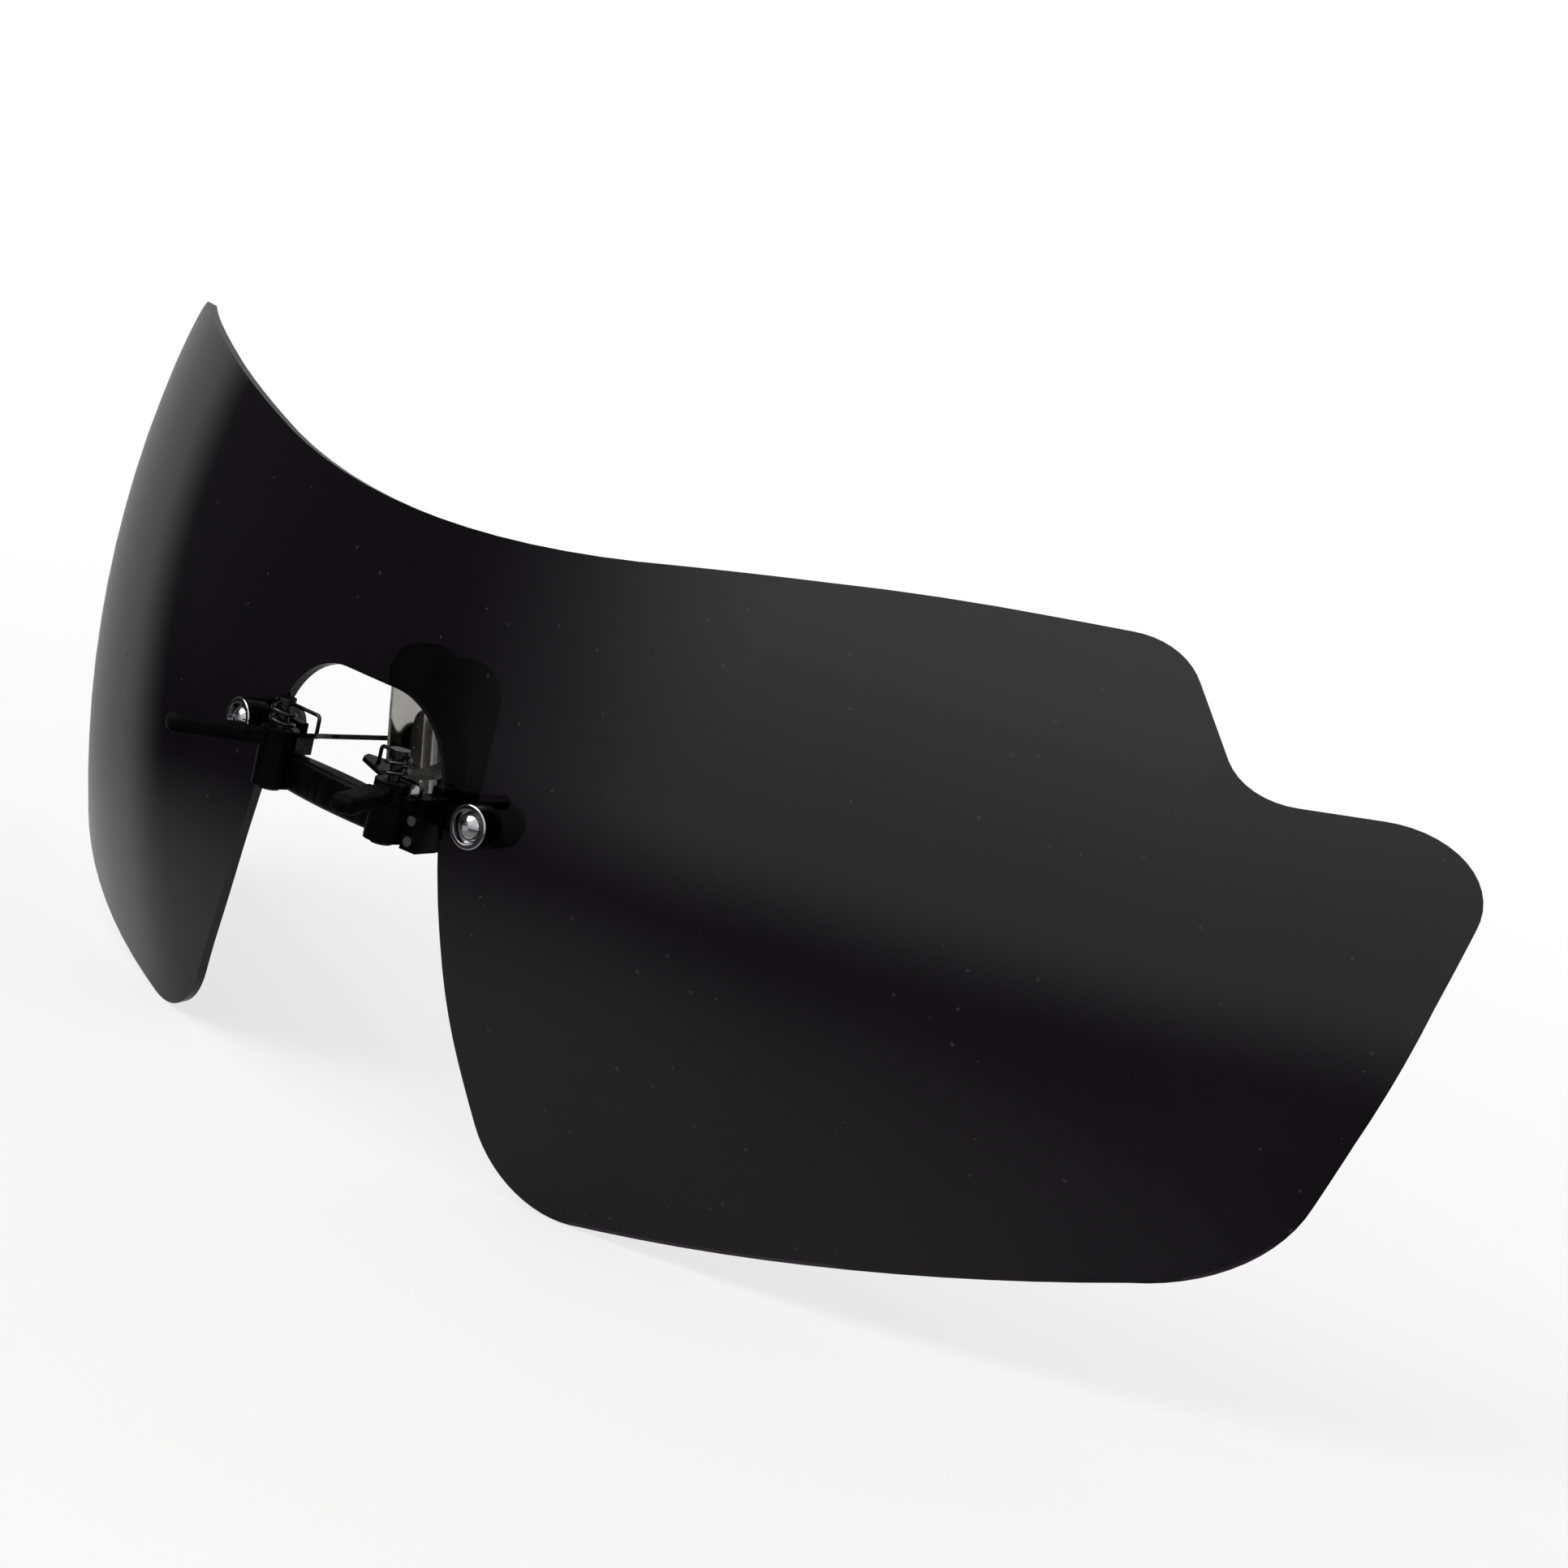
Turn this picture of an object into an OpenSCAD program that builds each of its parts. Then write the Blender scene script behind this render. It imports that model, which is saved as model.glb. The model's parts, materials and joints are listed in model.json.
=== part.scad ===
// Rimless one-piece shield sunglasses without temples. A spherical tinted lens hangs from a black
// finger-piece nose clip: two sleeved levers in front of the lens are squeezed together, and two
// clear nose pads behind it swing apart. Torsion springs close them again.
// Everything is drawn from the front of the lens at the level of its screws: +X along the width,
// +Y backwards to the wearer and +Z up. in_place() then moves the origin under the middle.

/* [Shield lens] */
// Overall width of the lens
lens_w = 137; // [124:0.2:148]
// Radius of the front surface
lens_r = 88.3; // [84:0.1:100]
// Thickness of the lens
lens_t = 0.7; // [0.6:0.05:1.2]
// Height of the brow corners above the screws
brow_h = 24.4; // [21:0.1:28]
// Depth of the lower corners below the screws
drop_h = 24.6; // [21:0.1:28]
// Width of the nose notch between its lower corners
notch_w = 36.6; // [36:0.2:42]
// Height of the notch's arch above the screws
notch_h = 6.9; // [6:0.1:9]

/* [Lens screws] */
// Distance between the two lens screws
screw_span = 25; // [24.6:0.1:27]
// Diameter of a screw's shank
screw_d = 1.4; // [1.2:0.1:1.6]
// Diameter of a screw's domed head
head_d = 2.2; // [2:0.1:2.3]
// Height of the dome over its washer's floor
head_h = 0.9; // [0.7:0.05:1.05]
// Outer diameter of the cup washers, gaskets and cap nuts
washer_d = 3.1; // [3:0.05:3.4]
// Thickness of a cup washer's floor
washer_floor_t = 0.25; // [0.2:0.05:0.35]
// Height of a cup washer's rim
washer_rim_h = 0.95; // [0.6:0.05:1.1]
// Width of the hexagon socket in a screw's head, across its corners
socket_d = 0.6; // [0.5:0.05:0.8]
// Thickness of the rear gaskets
gasket_t = 0.35; // [0.3:0.05:0.5]
// Length of a cap nut behind its strap
nut_l = 2.4; // [2:0.1:3]

/* [Bridge and lugs] */
// Height of the bridge bar
bridge_h = 2.6; // [2.2:0.1:3]
// Depth of the bridge bar in its middle
bridge_mid_t = 2.0; // [1.6:0.1:2.4]
// Depth of the bridge bar at its ends
bridge_end_t = 1.3; // [1.1:0.1:1.5]
// Thickness of the straps behind the lens
strap_t = 0.7; // [0.6:0.05:0.9]
// Height of the straps
strap_h = 2.6; // [2.2:0.1:3]
// Diameter of the strap rivets
rivet_d = 0.5; // [0.4:0.05:0.6]

/* [Pivots] */
// Distance between the two pivots
pivot_span = 12.4; // [12:0.1:12.8]
// Distance of the pivots in front of the lens
pivot_out = 1.4; // [1.3:0.1:1.8]
// Diameter of the pivot pins
pin_d = 0.9; // [0.8:0.05:1]
// Diameter of the hubs round the pins
hub_d = 2.6; // [2.4:0.1:2.7]
// Height of a lever's hub
hub_h = 1.5; // [1.3:0.1:1.8]

/* [Springs] */
// Diameter of the spring wire
wire_d = 0.28; // [0.24:0.02:0.28]
// Diameter of the spring's coil at the middle of its wire
coil_d = 1.7; // [1.6:0.05:1.9]
// Rise of the coil in one turn
coil_pitch = 0.72; // [0.7:0.01:0.8]
// Whole turns in the coil
coil_turns = 2; // [2:1:3]

/* [Finger levers] */
// Distance from the pivot to the end of the sleeve
finger_l = 8; // [7.6:0.1:9.5]
// Angle of the levers outwards from straight ahead
finger_splay = 25; // [20:1:30]
// Width of the lever's bar under the sleeve
bar_w = 0.8; // [0.7:0.05:0.9]
// Height of the lever's bar under the sleeve
bar_h = 0.6; // [0.5:0.05:0.65]
// Length of the rubber sleeve
sleeve_l = 5.6; // [4.6:0.1:5.9]
// Width of the rubber sleeve
sleeve_w = 1.8; // [1.6:0.1:2.1]
// Height of the rubber sleeve
sleeve_h = 1.25; // [1.2:0.05:1.6]

/* [Nose pads] */
// Width of a pad from front to back
pad_w = 7.5; // [7:0.1:8.5]
// Height of a pad
pad_h = 11.8; // [11:0.1:13]
// Thickness of a pad
pad_t = 1.4; // [1.3:0.1:1.6]
// Gap between the two pads when they are closed
pad_gap = 2.1; // [1.8:0.1:3]
// Thickness of the pad arms and of the inserts
arm_t = 0.35; // [0.3:0.05:0.45]
// Angle at which the pad arms rise towards the middle
arm_slope = 16; // [12:1:20]

/* [Hidden] */

// Facets of the lens's two spheres and of round pieces
lens_fn = 360;
round_fn = 64;
// Overrun of every cut
over = 0.2;
// How far a straight stretch of an outline may lie inside its curve
edge_tol = 0.01;
// Share of an outline's side that one rounded corner may take
corner_share = 0.49;

// Clearances
// Between curved lens and flat metal, and between two fixed pieces that fit in each other
seat_gap = 0.02;
// Between a pivot pin and the lever that turns on it
run_gap = 0.04;
// Between a turning face and the fixed face next to it
face_gap = 0.05;
// Between a lug and the edge of the nose notch
notch_gap = 0.2;

// Corners of the lens's outline, from the middle of the brow to the tip: across as a share of half
// the width, up as a share of the brow's height, rounding as a share of the brow's height
brow_shares = [
    [0, 0.688, 4.4], [0.55, 0.963, 6], [0.743, 1.006, 0.19],
    [0.8275, 0.655, 0.175], [1.0085, 0.707, 0.3], [0.9853, 0.0392, 2.66]
];
// The outer lower corner, as shares of half the width and of the drop
jaw_share = [0.9272, -0.599, 0.44];
// The notch's side from its lower corner upwards, as shares of half its width and of the drop
notch_shares = [[0.9923, -1.054, 0.3], [0.69, -0.54, 2], [0.541, -0.16, 4.4]];
// The corner of the notch's arch, as shares of half the notch's width and of its height
arch_share = [0.432, 0.97, 0.91];

half_w = lens_w / 2;
notch_half = notch_w / 2;
lens_corners = concat(
    [for (s = brow_shares) [s[0] * half_w, s[1] * brow_h, s[2] * brow_h]],
    [[jaw_share[0] * half_w, jaw_share[1] * drop_h, jaw_share[2] * drop_h]],
    [for (s = notch_shares) [s[0] * notch_half, s[1] * drop_h, s[2] * drop_h]],
    [[arch_share[0] * notch_half, arch_share[1] * notch_h, arch_share[2] * notch_h]]
);
lens_outline = rounded(concat(lens_corners, mirrored(lens_corners)));

// Two places on the notch's side, and its half width at a height between them
notch_low = lens_corners[len(lens_corners) - 2];
notch_high = lens_corners[len(lens_corners) - 1];
function notch_x(z) = notch_low[0]
    + (notch_high[0] - notch_low[0]) * (z - notch_low[1]) / (notch_high[1] - notch_low[1]);

// Cutter for the lens's edge: it opens out from the centre of the sphere, so that the edge is
// square to the surface all round
cutter_near_share = 0.25;
cutter_far_share = 1.02;
cutter_near = lens_r * cutter_near_share;
cutter_far = lens_r * cutter_far_share;
cutter_outline = [
    for (p = lens_outline) p * cutter_near / sqrt(lens_r * lens_r - p * p)
];

// Screws, square to the lens
screw_tilt = asin(screw_span / 2 / lens_r);
screw_r = screw_d / 2;
washer_r = washer_d / 2;
rim_gap = 0.1;
rim_top_r = 0.12;
head_r = head_d / 2;
dome_r = (head_r * head_r + head_h * head_h) / (2 * head_h);
gasket_y = lens_t + seat_gap;
strap_y = gasket_y + gasket_t;
nut_y = strap_y + strap_t;
nut_cap_t = 0.5;
nut_taper = 0.8;
nut_end_share = 0.72;
nut_end_r = washer_r * nut_end_share;
socket_depth = 0.35;

// Levels of the clip, upwards from the screws
hub_z = -0.25;
hub_top_z = hub_z + hub_h;
bridge_top_z = hub_z - face_gap;
bridge_low_z = bridge_top_z - bridge_h;
bar_z = hub_z + hub_h / 2;

// Pivots and the pieces round them
pivot_x = pivot_span / 2;
pivot_y = -pivot_out;
pin_r = pin_d / 2;
hub_r = hub_d / 2;
pin_foot_rim = 0.3;
pin_foot_r = pin_r + pin_foot_rim;
pin_foot_t = 0.25;
pin_cap_rim = 0.25;
pin_cap_r = pin_r + pin_cap_rim;
pin_cap_t = 0.3;

// Bridge bar, which ends where the lugs begin
bridge_half = pivot_x - hub_r;
bridge_y = -0.5;
bridge_chamfer = 0.35;
bridge_steps = 24;

// Lugs: each has an ear round the pin and an upright block in the notch, square to the screw
lug_front = -1.15;
lug_top_z = 0.7;
lug_drop = 0.2;
lug_low_z = bridge_low_z - lug_drop;
lug_out = lens_r * tan(asin(notch_x(lug_top_z) / lens_r) - screw_tilt) - notch_gap;
lug_in = lug_across(pivot_x + hub_r + 2 * face_gap, lug_front);
lug_mid = (lug_in + lug_out) / 2;
rivet_r = rivet_d / 2;
rivet_rim = 0.1;
rivet_head_r = rivet_r + rivet_rim;
rivet_head_t = 0.2;
// The rivets stand one over the other, below the stops of the levers
rivet_edge = 0.35;
rivet_levels = [lug_low_z + rivet_head_r + rivet_edge, hub_z - rivet_head_r - rivet_edge];

// Where a place with the global x lies across the screw's own frame, at its depth y
function lug_across(x, y) = (x + (y - lens_r) * sin(screw_tilt)) / cos(screw_tilt);

// Spring: a lower leg hooked into the lug, the coil round the pin and an upper leg on the pad arm
wire_r = wire_d / 2;
coil_r = coil_d / 2;
coil_z = hub_top_z + wire_r + face_gap;
coil_top_z = coil_z + coil_turns * coil_pitch;
coil_steps = 16;
wire_sides = 6;
bend_r = 2 * wire_r;
bend_steps = 4;
anchor_depth = 0.5;
anchor_reach = 1.95;
anchor_x = pivot_x + anchor_reach;
anchor_y = pivot_y + coil_r;
pin_top_z = coil_top_z + wire_r + 2 * face_gap;

// Finger levers
bar_end_wall = 0.5;
neck_step = 0.2;
neck_w = bar_w + 2 * neck_step;
neck_h = bar_h + 2 * neck_step;
sleeve_round_r = 0.3;
stop_t = 0.6;
stop_h = 0.8;
stop_l = 0.8;
link_h = 1.1;
// Where the link leaves the hub, as shares of its radius behind the pin
link_shares = [-0.1, 0.85];

// Nose pads and pad arms, in front to back and upward places
pad_in = pad_gap / 2;
pad_out = pad_in + pad_t;
pad_front_y = 3.4;
pad_back_y = pad_front_y + pad_w;
pad_low_z = -3;
pad_mid_x = pad_in + pad_t / 2;
// Corners of a pad: backwards and upwards as shares of its width and height, rounding as a share of
// its width
pad_shares = [[-0.02, 1, 0.3], [1.01, 1, 0.55], [0.98, 0, 0.25], [0.28, 0, 0.24]];
pad_corners = [
    for (s = pad_shares) [pad_front_y + s[0] * pad_w, pad_low_z + s[1] * pad_h, s[2] * pad_w]
];
// Levels through a pad from its nose side and how far each is drawn in, as shares of its thickness
pad_level_shares = [[0, 0.5], [0.08, 0.25], [0.2, 0.09], [0.4, 0], [0.8, 0], [0.94, 0.05], [1, 0.14]];
insert_share = 0.52;
insert_y = pad_front_y + insert_share * pad_w;
insert_w = 1.7;
insert_low_z = -1.4;
insert_top_z = 4.2;
boss_r = 0.6;
boss_z = 0.4;
paddle_r = 1.2;
paddle_low_z = -2.2;
paddle_top_z = 3;
// A pad arm: a tab on the face of its lever's link, and a strip that rises from it towards the middle
arm_x = pivot_x - hub_r;
arm_reach = arm_x - pad_out;
arm_l = insert_y - pivot_y;
arm_root_z = 0.85;
tab_gap = 0.25;
tab_l = 1.5;
tab_front_y = pivot_y + tab_gap;
tab_back_y = tab_front_y + tab_l;
// The strip seen from above: towards the middle and backwards from the pivot, as shares of the
// reach and of the length, rounding as a share of the reach
arm_shares = [
    [0.05, 0.03, 0.05], [0.98, 0.012, 0.06], [1.1, 0.09, 0.06], [0.816, 0.218, 0.3], [0.367, 0.31, 0.4],
    [0.33, 0.425, 0.4], [0.633, 0.69, 1], [0.96, 0.9, 0.3], [0.96, 1.1, 0.02], [0.7, 1.07, 0.2],
    [0.245, 0.782, 1], [0.05, 0.58, 1]
];

// The part's origin lies under the middle of its box: half way from the sleeves' tips to the back
// of the lens's tips, at the level of the lowest edge
front_y = pivot_y - (finger_l - sleeve_round_r) * cos(finger_splay)
    - (sleeve_w / 2 - sleeve_round_r) * sin(finger_splay) - sleeve_round_r;
back_y = lens_r - (lens_r - lens_t)
    * min([for (p = lens_outline) sqrt(lens_r * lens_r - p * p)]) / lens_r;
origin_y = (front_y + back_y) / 2;
origin_z = min([for (p = lens_outline) p[1]]);

// Outlines
function unit(v) = v / norm(v);
function flat(p) = [p[0], p[1]];
function mirrored(corners) = [
    for (i = [len(corners) - 1 : -1 : 0]) if (corners[i][0] > 0) [-corners[i][0], corners[i][1], corners[i][2]]
];
// A closed outline from corners [across, up, rounding]
function rounded(corners) = [
    for (i = [0 : len(corners) - 1])
        each corner_arc(
            flat(corners[(i + len(corners) - 1) % len(corners)]),
            flat(corners[i]),
            flat(corners[(i + 1) % len(corners)]),
            corners[i][2])
];
function corner_arc(before, at, after, r) =
    let (
        to_before = unit(before - at),
        to_after = unit(after - at),
        half = acos(to_before * to_after) / 2,
        reach = min(r / tan(half), corner_share * min(norm(before - at), norm(after - at))),
        arc_r = reach * tan(half),
        centre = at + unit(to_before + to_after) * arc_r / sin(half),
        from = at + to_before * reach - centre,
        to = at + to_after * reach - centre,
        start = atan2(from[1], from[0]),
        turn = (atan2(to[1], to[0]) - start + 540) % 360 - 180,
        steps = max(2, ceil(abs(turn) / (2 * acos(1 - edge_tol / arc_r))))
    )
    [for (k = [0 : steps]) centre + arc_r * [cos(start + turn * k / steps), sin(start + turn * k / steps)]];

// An outline with every point moved inwards, square to the chord of its neighbours
function drawn_in(outline, by) = [
    for (i = [0 : len(outline) - 1])
        let (
            count = len(outline),
            chord = unit(outline[(i + 1) % count] - outline[(i + count - 1) % count])
        )
        outline[i] + by * [chord[1], -chord[0]]
];
// A solid through rings of points, each ring with as many as the first
module loft(rings) {
    count = len(rings[0]);
    levels = len(rings);
    walls = [
        for (i = [0 : levels - 2]) for (k = [0 : count - 1])
            let (a = i * count + k, b = i * count + (k + 1) % count)
            each [[a, b, a + count], [b, b + count, a + count]]
    ];
    caps = [
        [for (k = [count - 1 : -1 : 0]) k],
        [for (k = [0 : count - 1]) (levels - 1) * count + k]
    ];
    polyhedron([for (ring = rings) each ring], concat(walls, caps));
}

// Wires: rings of points along a path, each turned as little as possible from the one before
function ways(path) = [
    for (i = [0 : len(path) - 1])
        unit(path[min(i + 1, len(path) - 1)] - path[max(i - 1, 0)])
];
function carried(way, i, side) =
    let (now = unit(side - (side * way[i]) * way[i]))
    i == len(way) - 1 ? [now] : concat([now], carried(way, i + 1, now));
module wire(path, r, sides) {
    way = ways(path);
    first = abs(way[0][2]) < 0.9 ? [0, 0, 1] : [1, 0, 0];
    side = carried(way, 0, first);
    rings = len(path);
    points = [
        for (i = [0 : rings - 1]) for (k = [0 : sides - 1])
            path[i] + r * (cos(360 * k / sides) * side[i] + sin(360 * k / sides) * cross(way[i], side[i]))
    ];
    walls = [
        for (i = [0 : rings - 2]) for (k = [0 : sides - 1])
            let (a = i * sides + k, b = i * sides + (k + 1) % sides)
            each [[a, a + sides, b], [b, a + sides, b + sides]]
    ];
    caps = [
        for (k = [1 : sides - 2])
            each [[0, k, k + 1], [(rings - 1) * sides, (rings - 1) * sides + k + 1, (rings - 1) * sides + k]]
    ];
    polyhedron(points, concat(walls, caps));
}

// Places
module in_place() { translate([0, -origin_y, -origin_z]) children(); }
module right() { in_place() children(); }
module left() { in_place() mirror([1, 0, 0]) children(); }
// The right screw's own frame: its origin is on the front of the lens and its y runs inwards
module at_screw() {
    translate([0, lens_r, 0]) rotate([0, 0, screw_tilt]) translate([0, -lens_r, 0]) children();
}
module at_pivot() { translate([pivot_x, pivot_y, 0]) children(); }
// The right lever's own frame: its y runs from the tip to the pivot
module along_finger() { at_pivot() rotate([0, 0, finger_splay]) children(); }

// Simple forms
module rod(y0, y1, r) { translate([0, y0, 0]) rotate([-90, 0, 0]) cylinder(h = y1 - y0, r = r, $fn = round_fn); }
module post(z0, z1, r) { translate([0, 0, z0]) cylinder(h = z1 - z0, r = r, $fn = round_fn); }
module block(low, high) { translate(low) cube(high - low); }
// A plate upright from front to back, from its side view
module side_plate(x0, x1) {
    translate([x0, 0, 0]) rotate([90, 0, 90]) linear_extrude(x1 - x0) children();
}
// An upright slot shape with round ends
module stadium(y, z0, z1, r) {
    translate([y, z0 + r]) circle(r, $fn = round_fn);
    translate([y, z1 - r]) circle(r, $fn = round_fn);
    translate([y - r, z0 + r]) square([2 * r, z1 - z0 - 2 * r]);
}

// The corners of a rectangle round the middle, for rounded()
function box_corners(w, h, r) = [for (c = [[1, 1], [1, -1], [-1, -1], [-1, 1]]) [c[0] * w / 2, c[1] * h / 2, r]];

module shield_lens() {
    color([0.14, 0.13, 0.15, 0.9])
    difference() {
        intersection() {
            translate([0, lens_r, 0])
            difference() {
                sphere(lens_r, $fn = lens_fn);
                sphere(lens_r - lens_t, $fn = lens_fn);
            }
            translate([0, lens_r - cutter_near, 0]) rotate([90, 0, 0])
            linear_extrude(cutter_far - cutter_near, scale = cutter_far / cutter_near)
                polygon(cutter_outline);
        }
        for (side = [0, 1]) mirror([side, 0, 0])
            at_screw() rod(-over, lens_t + over, screw_r + seat_gap);
    }
}

// The lens's screws and what they clamp
module lens_screw() {
    color("silver")
    at_screw() {
        rod(-washer_floor_t - head_h / 4, nut_y + nut_l - nut_cap_t - seat_gap, screw_r);
        difference() {
            translate([0, dome_r - head_h - washer_floor_t, 0])
            intersection() {
                rotate([90, 0, 0]) sphere(dome_r, $fn = round_fn);
                rod(-dome_r - over, head_h - dome_r, head_r);
            }
            translate([0, -washer_floor_t - head_h - over, 0]) rotate([-90, 0, 0])
                cylinder(h = over + socket_depth, r = socket_d / 2, $fn = 6);
        }
    }
}

module cup_washer() {
    rim_in = head_r + rim_gap;
    color("silver")
    at_screw()
    rotate([90, 0, 0])
    rotate_extrude($fn = round_fn) {
        translate([screw_r + seat_gap, 0]) square([washer_r - screw_r - seat_gap, washer_floor_t]);
        translate([rim_in, 0]) square([washer_r - rim_in, washer_rim_h - rim_top_r]);
        translate([rim_in, 0]) square([washer_r - rim_in - rim_top_r, washer_rim_h]);
        translate([washer_r - rim_top_r, washer_rim_h - rim_top_r]) circle(rim_top_r, $fn = round_fn);
    }
}

module gasket() {
    color("dimgray")
    at_screw()
    difference() {
        rod(gasket_y, gasket_y + gasket_t, washer_r);
        rod(gasket_y - over, gasket_y + gasket_t + over, screw_r + seat_gap);
    }
}

module cap_nut() {
    color([0.06, 0.06, 0.06])
    at_screw()
    difference() {
        rotate([-90, 0, 0])
        rotate_extrude($fn = round_fn)
            polygon([
                [0, nut_y], [washer_r, nut_y], [washer_r, nut_y + nut_l - nut_taper],
                [nut_end_r, nut_y + nut_l], [0, nut_y + nut_l]
            ]);
        rod(nut_y - over, nut_y + nut_l - nut_cap_t, screw_r + seat_gap);
    }
}

module strap() {
    color([0.08, 0.08, 0.08])
    at_screw()
    difference() {
        union() {
            rod(strap_y, strap_y + strap_t, washer_r);
            block([lug_in, strap_y, -strap_h / 2], [0, strap_y + strap_t, strap_h / 2]);
            block([lug_in, strap_y, lug_low_z], [lug_out, strap_y + strap_t, 0]);
        }
        rod(strap_y - over, strap_y + strap_t + over, screw_r + seat_gap);
        for (z = rivet_levels) translate([lug_mid, 0, z])
            rod(strap_y - over, strap_y + strap_t + over, rivet_r + seat_gap);
    }
}

module rivets() {
    color("silver")
    at_screw()
    for (z = rivet_levels) translate([lug_mid, 0, z]) {
        rod(lug_front, strap_y + strap_t, rivet_r);
        rod(lug_front - rivet_head_t, lug_front, rivet_head_r);
        rod(strap_y + strap_t, strap_y + strap_t + rivet_head_t, rivet_head_r);
    }
}

// The fixed middle of the clip
module clip_bridge() {
    color([0.1, 0.1, 0.1])
    hull()
    for (level = [
        [bridge_low_z, bridge_low_z + bridge_chamfer, -bridge_chamfer],
        [bridge_low_z + bridge_chamfer, bridge_top_z - bridge_chamfer, 0],
        [bridge_top_z - bridge_chamfer, bridge_top_z, -bridge_chamfer]
    ])
        translate([0, bridge_y, level[0]])
        linear_extrude(level[1] - level[0]) polygon(bridge_plan(level[2]));
}
// The bar seen from above: it swells from its ends to its middle
function bridge_plan(grow) = [
    for (face = [-1, 1]) for (k = [0 : bridge_steps])
        let (along = face * (1 - 2 * k / bridge_steps))
        [
            along * bridge_half,
            face * (grow + bridge_end_t / 2 + (bridge_mid_t - bridge_end_t) / 2 * (1 - along * along))
        ]
];

module lug() {
    color([0.08, 0.08, 0.08])
    difference() {
        union() {
            at_pivot() post(bridge_low_z, bridge_top_z, hub_r);
            block(
                [bridge_half, bridge_y - bridge_end_t / 2, bridge_low_z],
                [pivot_x + hub_r, bridge_y + bridge_end_t / 2, bridge_top_z]);
            at_screw() block([lug_in, lug_front, lug_low_z], [lug_out, strap_y, lug_top_z]);
        }
        at_pivot() post(bridge_low_z - over, bridge_top_z + over, pin_r + seat_gap);
        at_screw() for (z = rivet_levels) translate([lug_mid, 0, z])
            rod(lug_front - over, strap_y + over, rivet_r + seat_gap);
        translate([anchor_x, anchor_y, 0])
            post(lug_top_z - anchor_depth, lug_top_z + over, wire_r + face_gap);
    }
}

module pivot_pin() {
    color("gray")
    at_pivot() {
        post(bridge_low_z, pin_top_z, pin_r);
        post(bridge_low_z - pin_foot_t, bridge_low_z, pin_foot_r);
        post(pin_top_z, pin_top_z + pin_cap_t, pin_cap_r);
    }
}

// The levers, and what turns with them
module lever() {
    color([0.1, 0.1, 0.1])
    difference() {
        union() {
            at_pivot() post(hub_z, hub_top_z, hub_r);
            along_finger() {
                block(
                    [-bar_w / 2, bar_end_wall - finger_l, bar_z - bar_h / 2],
                    [bar_w / 2, 0, bar_z + bar_h / 2]);
                block(
                    [-neck_w / 2, sleeve_l - finger_l, bar_z - neck_h / 2],
                    [neck_w / 2, 0, bar_z + neck_h / 2]);
            }
            at_screw()
                block(
                    [lug_in - hub_r / 2, lug_front - face_gap - stop_t, hub_z],
                    [lug_in + stop_l, lug_front - face_gap, hub_z + stop_h]);
            translate([0, 0, hub_z]) linear_extrude(link_h) polygon(link_plan());
        }
        at_pivot() post(hub_z - over, hub_top_z + over, pin_r + run_gap);
    }
}
// The link seen from above, from the hub to the tab of the pad arm
function link_plan() = [
    [pivot_x, pivot_y + hub_r * link_shares[0]], [pivot_x, pivot_y + hub_r * link_shares[1]],
    [arm_x, tab_back_y], [arm_x, tab_front_y]
];

module sleeve() {
    color([0.07, 0.07, 0.07])
    along_finger()
    difference() {
        intersection() {
            translate([0, sleeve_l - finger_l, bar_z]) rotate([90, 0, 0]) linear_extrude(sleeve_l)
                polygon(rounded(box_corners(sleeve_w, sleeve_h, sleeve_round_r)));
            translate([0, sleeve_l / 2 - finger_l, bar_z - sleeve_h / 2 - over])
            linear_extrude(sleeve_h + 2 * over)
                polygon(rounded(box_corners(sleeve_w, sleeve_l, sleeve_round_r)));
        }
        block(
            [-bar_w / 2 - seat_gap, bar_end_wall - finger_l - seat_gap, bar_z - bar_h / 2 - seat_gap],
            [bar_w / 2 + seat_gap, over, bar_z + bar_h / 2 + seat_gap]);
    }
}

// The spring's path: down into the lug, round the pin and down into the pad arm
leg_reach = 2.8;
leg_x = pivot_x - leg_reach;
leg_end_z = arm_root_z + (arm_x - leg_x) * tan(arm_slope);
function bend(from, way_in, way_out) = [
    for (k = [0 : bend_steps])
        let (a = 90 * k / bend_steps)
        from + bend_r * (sin(a) * way_in + (1 - cos(a)) * way_out)
];
spring_path = concat(
    [[anchor_x, anchor_y, lug_top_z - anchor_depth + face_gap]],
    bend([anchor_x, anchor_y, coil_z - bend_r], [0, 0, 1], [-1, 0, 0]),
    [
        for (k = [0 : coil_turns * coil_steps])
            [
                pivot_x + coil_r * cos(90 + 360 * k / coil_steps),
                pivot_y + coil_r * sin(90 + 360 * k / coil_steps),
                coil_z + coil_pitch * k / coil_steps
            ]
    ],
    bend([leg_x + bend_r, pivot_y + coil_r, coil_top_z], [-1, 0, 0], [0, 0, -1]),
    [[leg_x, pivot_y + coil_r, leg_end_z]]
);
module spring() { color("dimgray") wire(spring_path, wire_r, wire_sides); }
// Least gap between two places on the wire that are half a turn or more apart
coil_places = [for (k = [0 : coil_turns * coil_steps]) bend_steps + 2 + k];
coil_gap = min([
    for (i = coil_places) for (j = [i + coil_steps / 2 : 1 : coil_places[len(coil_places) - 1]])
        norm(spring_path[i] - spring_path[j])
]) - wire_d;
echo(coil_gap = coil_gap);

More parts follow.
